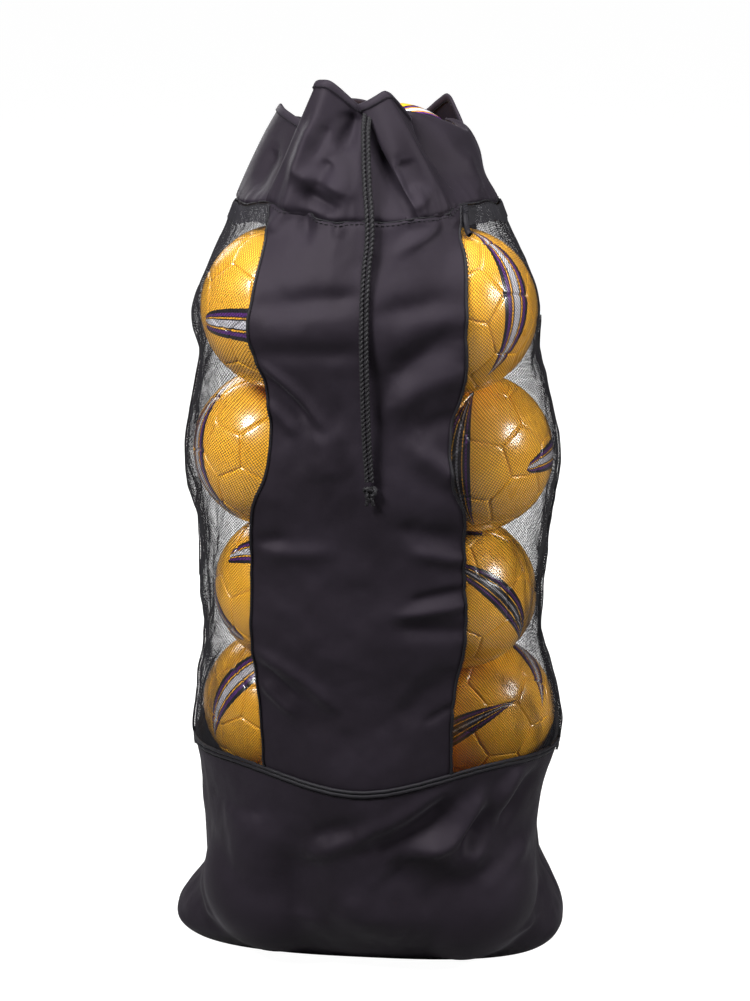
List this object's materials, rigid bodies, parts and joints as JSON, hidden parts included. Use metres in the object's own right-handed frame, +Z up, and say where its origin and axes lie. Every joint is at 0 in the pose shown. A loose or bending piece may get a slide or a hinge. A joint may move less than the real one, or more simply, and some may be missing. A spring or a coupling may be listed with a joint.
{
  "type": "mesh ball bag",
  "caption": "Tall drawstring ball bag of black cloth and net, standing filled with golden footballs; its gathered collar opens on a drawcord.",
  "frame": {"origin": "middle of the flat base, on the floor", "axes": "+Z up towards the mouth, front panel and drawcord tails face -Y, +X to the right seen from the front"},
  "size_m": [0.5656, 0.4783, 1.243],
  "materials": {
    "cloth": "satin",
    "hem": "satin",
    "net": "matte",
    "seam_binding": "matte",
    "cord": "matte",
    "ball_cover": "gloss"
  },
  "bodies": {
    "bag": {"base_panel": "cloth", "foot_front": "cloth", "foot_back": "cloth", "front_panel": "cloth", "back_panel": "cloth", "net_left": "net", "net_right": "net", "edge_seam_front_left": "seam_binding", "edge_seam_front_right": "seam_binding", "edge_seam_back_right": "seam_binding", "edge_seam_back_left": "seam_binding", "foot_seam_tape": "seam_binding", "collar_seam_tape": "seam_binding", "ball_left_0": "ball_cover", "ball_left_1": "ball_cover", "ball_left_2": "ball_cover", "ball_left_3": "ball_cover", "ball_left_4": "ball_cover", "ball_right_0": "ball_cover", "ball_right_1": "ball_cover", "ball_right_2": "ball_cover", "ball_right_3": "ball_cover", "ball_right_4": "ball_cover", "ball_back_low": "ball_cover", "ball_back_middle": "ball_cover", "ball_back_high": "ball_cover", "ball_front_low": "ball_cover", "ball_mouth": "ball_cover"},
    "pleat_front_left": {"collar_front_left": "cloth", "rim_hem_front_left": "hem", "drawcord_front_left": "cord"},
    "pleat_front_right": {"collar_front_right": "cloth", "rim_hem_front_right": "hem", "drawcord_front_right": "cord"},
    "pleat_right": {"collar_right": "cloth", "rim_hem_right": "hem", "drawcord_right": "cord"},
    "pleat_back_right": {"collar_back_right": "cloth", "rim_hem_back_right": "hem", "drawcord_back_right": "cord"},
    "pleat_back_left": {"collar_back_left": "cloth", "rim_hem_back_left": "hem", "drawcord_back_left": "cord"},
    "pleat_left": {"collar_left": "cloth", "rim_hem_left": "hem", "drawcord_left": "cord"},
    "cord_tails": {"cord_tail_left": "cord", "cord_tail_right": "cord"},
    "tail_knot": {"cord_knot": "cord"}
  },
  "joints": [
    {"name": "mouth_front_left", "type": "hinge", "parent": "bag", "child": "pleat_front_left", "pos_m": [-0.0905, -0.15675, 1.082], "axis": [0.866, -0.5, 0], "range_deg": [0, 24]},
    {"name": "mouth_front_right", "type": "hinge", "parent": "bag", "child": "pleat_front_right", "pos_m": [0.0905, -0.15675, 1.082], "axis": [0.866, 0.5, 0], "range_deg": [0, 24]},
    {"name": "mouth_right", "type": "hinge", "parent": "bag", "child": "pleat_right", "pos_m": [0.181, 0, 1.082], "axis": [0, 1, 0], "range_deg": [0, 24]},
    {"name": "mouth_back_right", "type": "hinge", "parent": "bag", "child": "pleat_back_right", "pos_m": [0.0905, 0.15675, 1.082], "axis": [-0.866, 0.5, 0], "range_deg": [0, 24]},
    {"name": "mouth_back_left", "type": "hinge", "parent": "bag", "child": "pleat_back_left", "pos_m": [-0.0905, 0.15675, 1.082], "axis": [-0.866, -0.5, 0], "range_deg": [0, 24]},
    {"name": "mouth_left", "type": "hinge", "parent": "bag", "child": "pleat_left", "pos_m": [-0.181, 0, 1.082], "axis": [0, -1, 0], "range_deg": [0, 24]},
    {"name": "tails_hang", "type": "hinge", "parent": "pleat_front_left", "child": "cord_tails", "pos_m": [-0.0045, -0.1285, 1.186], "axis": [0.866, -0.5, 0], "range_deg": [-25, 0]},
    {"name": "knot_rise", "type": "slide", "parent": "cord_tails", "child": "tail_knot", "axis": [0, 0, 1], "range_m": [0, 0.165], "deforming": ["cord_tail_left", "cord_tail_right"]}
  ],
  "couplings": [
    {"joint": "mouth_front_right", "follows": "mouth_front_left", "ratio": 1},
    {"joint": "mouth_right", "follows": "mouth_front_left", "ratio": 1},
    {"joint": "mouth_back_right", "follows": "mouth_front_left", "ratio": 1},
    {"joint": "mouth_back_left", "follows": "mouth_front_left", "ratio": 1},
    {"joint": "mouth_left", "follows": "mouth_front_left", "ratio": 1},
    {"joint": "tails_hang", "follows": "mouth_front_left", "ratio": -1},
    {"joint": "knot_rise", "follows": "mouth_front_left", "m_per_rad": 0.3581}
  ]
}
